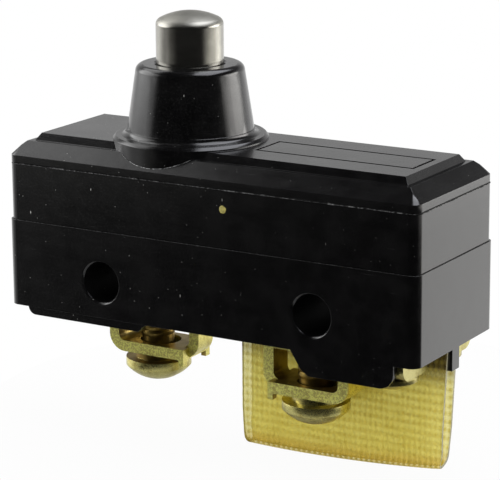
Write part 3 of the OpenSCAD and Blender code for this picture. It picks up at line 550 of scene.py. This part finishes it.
def soften_screw(node):
    """A terminal screw; a large one has a dark shank of tarnish and painted shade, which starts at the common
    screw's head itself, with painted shade on that head's top face.
    """
    head_top = box_mm(node)[0].z + HEAD_H
    obj = softened(node, SCREW_EDGE)

    def on_shank(at, way):
        if node != "common_screw":
            return at.z > head_top + BRIGHT_NECK
        return at.z > head_top + (0.0 if way.z > FACES_UP else HEAD_RIM)

    if "closed" in node:
        obj.data.materials[0] = END_BRASS
    else:
        # tarnish and painted shade above the head
        second_finish(obj, SHANK_TARNISH_AND_SHADE, on_shank)


def pressed_spring(node):
    """A copy of a spring, with a mesh of its own, in the spring's place."""
    obj = piece(node + "_coil", node_copy(node), BODY_OF[node], SLOT_OF[node])
    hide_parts(node)
    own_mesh(obj)


case_pieces = {node: softened(node, width) for node, width in CASE_EDGES.items()}
# painted shade in the mounting holes
second_finish(case_pieces["base"], BORE_SHADE, in_bore)
for node in NODES:
    if "clamp" in node:
        soften_clamp(node)
    elif "terminal" in node:
        softened(node, STRIP_EDGE)
    elif node.endswith("screw") or "_screw_" in node:
        soften_screw(node)
for joint in RECORD["behaviour"]["joints"]:
    for spring in joint.get("deforming_nodes", []):
        pressed_spring(spring["node"])


# The barrier: one sheet, folded up round the ridge, its fold bowed along the case

def column_x(i, z):
    """Place of a column along the case, at a height; the right edge leans in towards the fold."""
    right = BARRIER_HIGH.x - EDGE_LEAN * (BARRIER_HIGH.z - z)
    return BARRIER_LOW.x + (right - BARRIER_LOW.x) * i / (COLUMNS - 1)


def fold_centre(i):
    """Height of the fold's axis in a column."""
    off = column_x(i, BARRIER_LOW.z) - FOLD_LOW_X
    bow = FOLD_BOW - math.sqrt(FOLD_BOW ** 2 - off ** 2)
    return BARRIER_LOW.z + bow + FOLD_OUT - FOLD_PINCH


def cloth_section(i, radius):
    """Points across one side of the cloth: down the front leg, round the fold and up the back leg."""
    top, centre = BARRIER_HIGH.z, fold_centre(i)
    leg = []
    for k in range(LEG_ROWS):
        z = top + (centre - top) * k / LEG_ROWS
        t = min(1.0, max(0.0, 1 - (z - centre) / PINCH_FROM))
        leg.append((radius - FOLD_PINCH * t * t * (3 - 2 * t), z))
    turn_r = radius - FOLD_PINCH
    turns = [math.pi * k / FOLD_ROWS for k in range(FOLD_ROWS + 1)]
    fold = [(-turn_r * math.cos(turn), centre - turn_r * math.sin(turn)) for turn in turns]
    return [(-y, z) for y, z in leg] + fold + leg[::-1]


def cloth_column(bm, i, radius):
    """Vertices of a section, with the sway of the legs, frayed edges and worn fold ends."""
    from_edge = min(i, COLUMNS - 1 - i)
    inward = 1.0 if i < COLUMNS / 2 else -1.0
    most_worn = FOLD_WORN * max(0.0, 1 - from_edge / WORN_COLUMNS)
    lowest = fold_centre(i) - (radius - FOLD_PINCH)
    column = []
    for y, z in cloth_section(i, radius):
        sway = SWAY * wander(i * 0.04, z * 0.16, 3.0 if y < 0 else 8.0)
        depth = min(1.0, max(0.0, (BARRIER_HIGH.z - z) / SWAY_DEPTH))
        fray = FRAY * abs(wander(z * 2.6, y, 5.0)) if from_edge == 0 else 0.0
        worn = most_worn * max(0.0, 1 - (z - lowest) / WORN_FROM) ** 2
        column.append(vertex(bm, (column_x(i, z) + inward * (fray + worn), y + sway * depth, z)))
    return column


def barrier_sheet():
    """The barrier's cloth, with another finish on its two cut edges."""
    bm = bmesh.new()
    sides = [[cloth_column(bm, i, radius) for i in range(COLUMNS)] for radius in (FOLD_OUT, FOLD_IN)]
    outer, inner = sides
    rows = len(outer[0])
    for i in range(COLUMNS - 1):
        for k in range(rows - 1):
            bm.faces.new((outer[i][k], outer[i + 1][k], outer[i + 1][k + 1], outer[i][k + 1]))
            bm.faces.new((inner[i][k], inner[i][k + 1], inner[i + 1][k + 1], inner[i + 1][k]))
        for k in (0, rows - 1):
            bm.faces.new((outer[i][k], outer[i + 1][k], inner[i + 1][k], inner[i][k]))
    for i in (0, COLUMNS - 1):
        for k in range(rows - 1):
            cut = bm.faces.new((outer[i][k], outer[i][k + 1], inner[i][k + 1], inner[i][k]))
            cut.material_index = 1
    obj = piece("barrier_cloth", bm, "case", "glass_cloth")
    obj.data.materials.append(CUT_CLOTH)
    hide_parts("barrier")


barrier_sheet()


# Small things on the case: flash along the seams (on the ends, the upper one is painted seam shade) and round
# the boss, a dot of paint, threads on the screws

def outline_point(half_x, half_y, r, s):
    """Point and outward direction on a rounded rectangle, at a distance s along it."""
    runs = (2 * (half_x - r), math.pi * r / 2, 2 * (half_y - r), math.pi * r / 2)
    s %= 2 * sum(runs)
    flip = -1 if s >= sum(runs) else 1
    s %= sum(runs)
    if s < runs[0]:
        x, y, out_x, out_y = -half_x + r + s, -half_y, 0, -1
    elif s < runs[0] + runs[1]:
        t = (s - runs[0]) / r
        out_x, out_y = math.sin(t), -math.cos(t)
        x, y = half_x - r + r * out_x, -half_y + r + r * out_y
    elif s < runs[0] + runs[1] + runs[2]:
        x, y, out_x, out_y = half_x, -half_y + r + s - runs[0] - runs[1], 1, 0
    else:
        t = (s - runs[0] - runs[1] - runs[2]) / r
        out_x, out_y = math.cos(t), math.sin(t)
        x, y = half_x - r + r * out_x, half_y - r + r * out_y
    return Vector((flip * x, flip * y, 0)), Vector((flip * out_x, flip * out_y, 0))


def bead_ring(bm, at, out, reach, rise):
    """Vertices round a bead, which reaches outward and rises by different radii."""
    turns = [2 * math.pi * k / BEAD_SIDES for k in range(BEAD_SIDES)]
    return [vertex(bm, at + reach * math.cos(turn) * out + rise * math.sin(turn) * UP) for turn in turns]


def seam_flash(name, node, inset, size, ragged, seed, end_growth, mat):
    """A thin torn bead of resin round the top of a moulding, thicker and thinner along its length."""
    high = box_mm(node)[1]
    half_x, half_y, r = high.x - inset, high.y - inset, CORNER_R - inset
    total = 4 * (half_x + half_y - 2 * r) + 2 * math.pi * r
    bm = bmesh.new()
    rings = []
    for i in range(SEAM_RINGS):
        s = total * i / SEAM_RINGS
        at, out = outline_point(half_x, half_y, r, s)
        slow = abs(wander(s * 0.9, seed, 0.0))
        quick = wander(s * 3.1, seed, 4.0)
        grow = max(0.25, 0.55 + ragged * (0.9 * slow + 0.5 * quick))
        bead = min(BEAD_LIMIT, size * grow * (1 + end_growth * abs(out.x)))
        rings.append(bead_ring(bm, at + high.z * UP, out, BEAD_FLAT * bead, bead))
    for first, second in zip(rings, rings[1:] + rings[:1]):
        band(bm, first, second)
    piece(name, bm, "case", "case", mat, 60)


def foot_flash(name, side):
    """Thin flash where the wall of the boss's disc runs into the sloped edge, at the front or the back."""
    half_w = COVER_HIGH.y
    half_turn = math.acos((half_w - SLOPE_RUN) / DISC_R)
    bm = bmesh.new()
    rings = []
    for i in range(FOOT_RINGS + 1):
        turn = half_turn * (2 * i / FOOT_RINGS - 1)
        out = Vector((math.sin(turn), side * math.cos(turn), 0))
        z = BAND_TOP + (half_w - DISC_R * math.cos(turn)) * SLOPE_H / SLOPE_RUN
        ragged = 0.75 + 0.9 * abs(wander(i * 0.21, side, 2.0))
        bead = FOOT_BEAD * ragged * (1.3 - 0.8 * i / FOOT_RINGS)
        rings.append(bead_ring(bm, Vector((BOSS_X, 0, z)) + DISC_R * out, out, bead, bead))
    capped_tube(bm, rings)
    piece(name, bm, "case", "case", FOOT_FLASH, 60)


def paint_dot():
    """A dab of paint on the front face, with a ragged outline and a low crown."""
    bm = bmesh.new()
    face_y = COVER_LOW.y + DOT_SINK
    levels = []
    for j in range(DOT_RINGS):
        share = 1 - j / DOT_RINGS
        y = face_y - DOT_CROWN * math.sqrt(1 - share * share)
        level = []
        for k in range(DOT_SIDES):
            turn = 2 * math.pi * k / DOT_SIDES
            x, z = math.cos(turn), math.sin(turn)
            r = DOT_R * share * (1 + 0.16 * wander(x * 1.7, z * 1.7, 2.0))
            level.append(vertex(bm, (DOT_X + r * x, y, DOT_Z + r * z)))
        levels.append(level)
    for first, second in zip(levels, levels[1:]):
        band(bm, first, second)
    tip = vertex(bm, (DOT_X, face_y - DOT_CROWN, DOT_Z))
    for k in range(DOT_SIDES):
        bm.faces.new((levels[-1][k], levels[-1][(k + 1) % DOT_SIDES], tip))
    bm.faces.new(levels[0])
    piece("paint_dot", bm, "case", "glass_cloth", PAINT, 60)


def screw_thread(node):
    """Thread on the part of a terminal screw that shows between its clamp and its strip."""
    low, high = box_mm(node)
    middle = (low + high) / 2
    tooth = ((ROOT_R, -ROOT_HALF), (CREST_R, -CREST_HALF), (CREST_R, CREST_HALF), (ROOT_R, ROOT_HALF))
    count = int((THREAD_HIGH - THREAD_LOW - PITCH) / PITCH * THREAD_STEPS)
    bm = bmesh.new()
    rings = []
    for i in range(count + 1):
        turn = 2 * math.pi * i / THREAD_STEPS
        out = Vector((math.cos(turn), math.sin(turn), 0))
        at = Vector((middle.x, middle.y, THREAD_LOW + PITCH / 2 + PITCH * i / THREAD_STEPS))
        full = min(1.0, i / RUN_OUT_STEPS, (count - i) / RUN_OUT_STEPS)
        ring = []
        for tooth_r, rise in tooth:
            r = ROOT_R + (tooth_r - ROOT_R) * full
            ring.append(vertex(bm, at + r * out + rise * PITCH * UP))
        rings.append(ring)
    capped_tube(bm, rings)
    # the thread is dark with tarnish and painted shade
    piece(node + "_thread", bm, "case", "brass_screw", SHANK_TARNISH_AND_SHADE, 35)


seam_flash("seam_flash_lower", "base", inset=0.07, size=0.026, ragged=1.0, seed=1.0, end_growth=-0.5,
           mat=LOWER_FLASH)
# On the case's ends the upper bead is painted shade of the gap under the plunger housing
seam_flash("seam_flash_upper_and_gap_shade", "cover", inset=0.04, size=0.06, ragged=2.0, seed=6.0, end_growth=1.2,
           mat=UPPER_FLASH_AND_GAP_SHADE)
paint_dot()
for node in ("common_screw", "open_screw_front", "open_screw_back"):
    screw_thread(node)
for side, label in ((-1, "front"), (1, "back")):
    foot_flash("foot_flash_" + label, side)


# Camera, in degrees and millimetres, as it was fitted to the photograph

CAMERA_TURN, CAMERA_RISE, CAMERA_ROLL = 31.00, 13.55, -0.40
CAMERA_AT = Vector((124.25, -206.41, 65.68))
SENSOR_WIDTH, LENS = 36.0, 170.1
SHIFT_X, SHIFT_Y = 0.00454, -0.0608


def direction(turn, rise):
    """Direction that is turned from the front towards the right and raised, both in degrees."""
    az, el = math.radians(turn), math.radians(rise)
    return Vector((math.sin(az) * math.cos(el), -math.cos(az) * math.cos(el), math.sin(el)))


def camera():
    """The photograph's camera."""
    roll = math.radians(CAMERA_ROLL)
    back = direction(CAMERA_TURN, CAMERA_RISE)
    level = UP.cross(back).normalized()
    rise = back.cross(level)
    right = math.cos(roll) * level + math.sin(roll) * rise
    up = math.cos(roll) * rise - math.sin(roll) * level
    data = bpy.data.cameras.new("camera")
    data.sensor_fit = "HORIZONTAL"
    data.sensor_width = SENSOR_WIDTH
    data.lens = LENS
    data.shift_x = SHIFT_X
    data.shift_y = SHIFT_Y
    data.clip_start = 0.01
    obj = new_object("camera", data)
    place = Matrix((right, up, back)).transposed().to_4x4()
    place.translation = CAMERA_AT * MM
    obj.matrix_world = place
    bpy.context.scene.camera = obj


# Light: softboxes left, right and overhead, low cards, and a room that mirrors dark round the camera

AIM = Vector((0, 0, 8)) * MM
FAR, NEAR = 320 * MM, 200 * MM
MIRRORED_LEVEL, LIT_LEVEL = 1.05, 0.66
FLOOR_R, FLOOR_BACK, FLOOR_GAP = 36 * MM, 10 * MM, 0.05 * MM
FLOOR_GREY, FLOOR_GLOW = 0.50, 0.96


def fade_edges(data, start, end, level):
    """Fades a softbox out over shares of its width, where its turn starts and where it ends, and over a share
    of its height, above and below."""
    data.use_nodes = True
    s = Nodes(data.node_tree)
    place = s.add("ShaderNodeNewGeometry").outputs["Parametric"]
    u, v = s.axis("X", place), s.axis("Y", place)
    sides = s.math("MULTIPLY", s.remap(u, 0.0, start), s.remap(s.math("SUBTRACT", 1.0, u), 0.0, end))
    heights = s.remap(s.math("PINGPONG", v, 0.5), 0.0, level)
    s.link(s.math("MULTIPLY", sides, heights), s.tree.nodes["Emission"].inputs["Strength"])


def softbox(name, turn, low, high, spread, radiance, tint=(1, 1, 1), distance=FAR, fade=(0.25, 0.25, 0.25)):
    """A softbox seen from the switch between two heights and across a spread, in degrees; turn is counted
    from the side that the photograph was taken from, positive to the right."""
    towards = direction(CAMERA_TURN + turn, (low + high) / 2)
    data = bpy.data.lights.new(name, "AREA")
    data.shape = "RECTANGLE"
    data.size = 2 * distance * math.tan(math.radians(spread / 2))
    data.size_y = 2 * distance * math.tan(math.radians((high - low) / 2))
    data.energy = radiance * math.pi * data.size * data.size_y
    data.color = tint
    fade_edges(data, *fade)
    obj = new_object(name, data)
    obj.location = AIM + towards * distance
    obj.rotation_euler = towards.to_track_quat("Z", "Y").to_euler()
    obj.visible_camera = False


def ramp(s, value, stops):
    """Grey levels at given values, with eased steps between them."""
    made = s.add("ShaderNodeValToRGB", {0: value})
    made.color_ramp.interpolation = "EASE"
    while len(made.color_ramp.elements) < len(stops):
        made.color_ramp.elements.new(0.5)
    for element, (at, grey) in zip(made.color_ramp.elements, stops):
        element.position = at
        element.color = (grey, grey, grey, 1)
    return made.outputs[0]


def seen_rays(s, path):
    """One for rays that see a thing straight or through the cloth, else nought."""
    return s.math("MAXIMUM", path.outputs["Is Camera Ray"], path.outputs["Is Transmission Ray"])


def studio():
    """A room that is seen white, but is mirrored dark overhead and on the camera's side."""
    world = bpy.data.worlds.new("studio")
    world.use_nodes = True
    bpy.context.scene.world = world
    s = Nodes(world.node_tree)
    s.tree.nodes.clear()
    way = s.add("ShaderNodeTexCoord").outputs["Generated"]
    x, y, z = (s.axis(name, way) for name in "XYZ")
    camera_side = direction(CAMERA_TURN, 0)
    front = s.math("MULTIPLY_ADD", x, camera_side.x, s.math("MULTIPLY", y, camera_side.y))
    behind = ramp(s, s.math("MULTIPLY_ADD", front, 0.5, 0.5), ((0.15, 1.0), (0.50, 0.008)))
    height = ramp(s, s.math("MULTIPLY_ADD", z, 0.5, 0.5),
                  ((0.0, 0.9), (0.40, 1.0), (0.62, 0.55), (0.735, 0.10), (1.0, 0.06)))
    mirrored = s.math("MULTIPLY", s.math("MULTIPLY", behind, height), MIRRORED_LEVEL)
    path = s.add("ShaderNodeLightPath")
    glossy, seen = path.outputs["Is Glossy Ray"], seen_rays(s, path)
    lit = s.math("MULTIPLY", s.math("SUBTRACT", 1.0, glossy), LIT_LEVEL)
    unseen = s.math("MULTIPLY_ADD", glossy, mirrored, lit)
    strength = s.math("MULTIPLY_ADD", s.math("SUBTRACT", 1.0, seen), unseen, seen)
    background = s.add("ShaderNodeBackground", {"Color": (1, 1, 1, 1), "Strength": strength})
    s.add("ShaderNodeOutputWorld", {"Surface": background.outputs[0]})


def floor():
    """A small grey card under the switch that looks nearly as white as the room where it is seen."""
    bm = bmesh.new()
    bmesh.ops.create_circle(bm, cap_ends=True, segments=96, radius=FLOOR_R)
    mesh = new_mesh("floor", bm)
    obj = new_object("floor", mesh)
    obj.location = (0.0, FLOOR_BACK, cad_box[0][2] - FLOOR_GAP)
    mat = bpy.data.materials.new("floor_card")
    mat.use_nodes = True
    s = Nodes(mat.node_tree)
    s.tree.nodes.clear()
    grey = s.add("ShaderNodeBsdfDiffuse", {"Color": (FLOOR_GREY, FLOOR_GREY, FLOOR_GREY, 1)})
    glow = s.add("ShaderNodeEmission", {"Color": (1, 1, 1, 1)})
    share = s.math("MULTIPLY", seen_rays(s, s.add("ShaderNodeLightPath")), FLOOR_GLOW)
    s.add("ShaderNodeOutputMaterial", {"Surface": s.blend(share, grey, glow).outputs[0]})
    mesh.materials.append(mat)


camera()
studio()
floor()
softbox("softbox_right", turn=93, low=-6, high=22, spread=62, radiance=5.8, tint=(1.0, 0.98, 0.95),
        fade=(0.55, 0.2, 0.42))
softbox("softbox_left", turn=-101, low=-4, high=42, spread=70, radiance=3.3, fade=(0.2, 0.5, 0.25))
softbox("softbox_top_left", turn=-130, low=28, high=62, spread=56, radiance=1.9)
softbox("softbox_top_right", turn=90, low=46, high=88, spread=76, radiance=4.0, tint=(0.92, 0.94, 1.0),
        fade=(0.2, 0.25, 0.15))
softbox("low_card_right", turn=118, low=-34, high=-2, spread=46, radiance=0.66, tint=(1.0, 0.985, 0.95))
softbox("low_card_left", turn=-104, low=-30, high=-4, spread=72, radiance=0.50, fade=(0.25, 0.3, 0.25))
softbox("strip_right", turn=88, low=-12, high=-4, spread=92, radiance=1.8, tint=(1.0, 0.98, 0.93),
        distance=NEAR, fade=(0.5, 0.3, 0.25))
softbox("strip_left", turn=-70, low=-12, high=-4, spread=50, radiance=0.28, tint=(1.0, 1.0, 0.96),
        distance=NEAR, fade=(0.4, 0.5, 0.25))
bpy.context.scene.view_settings.view_transform = "Standard"
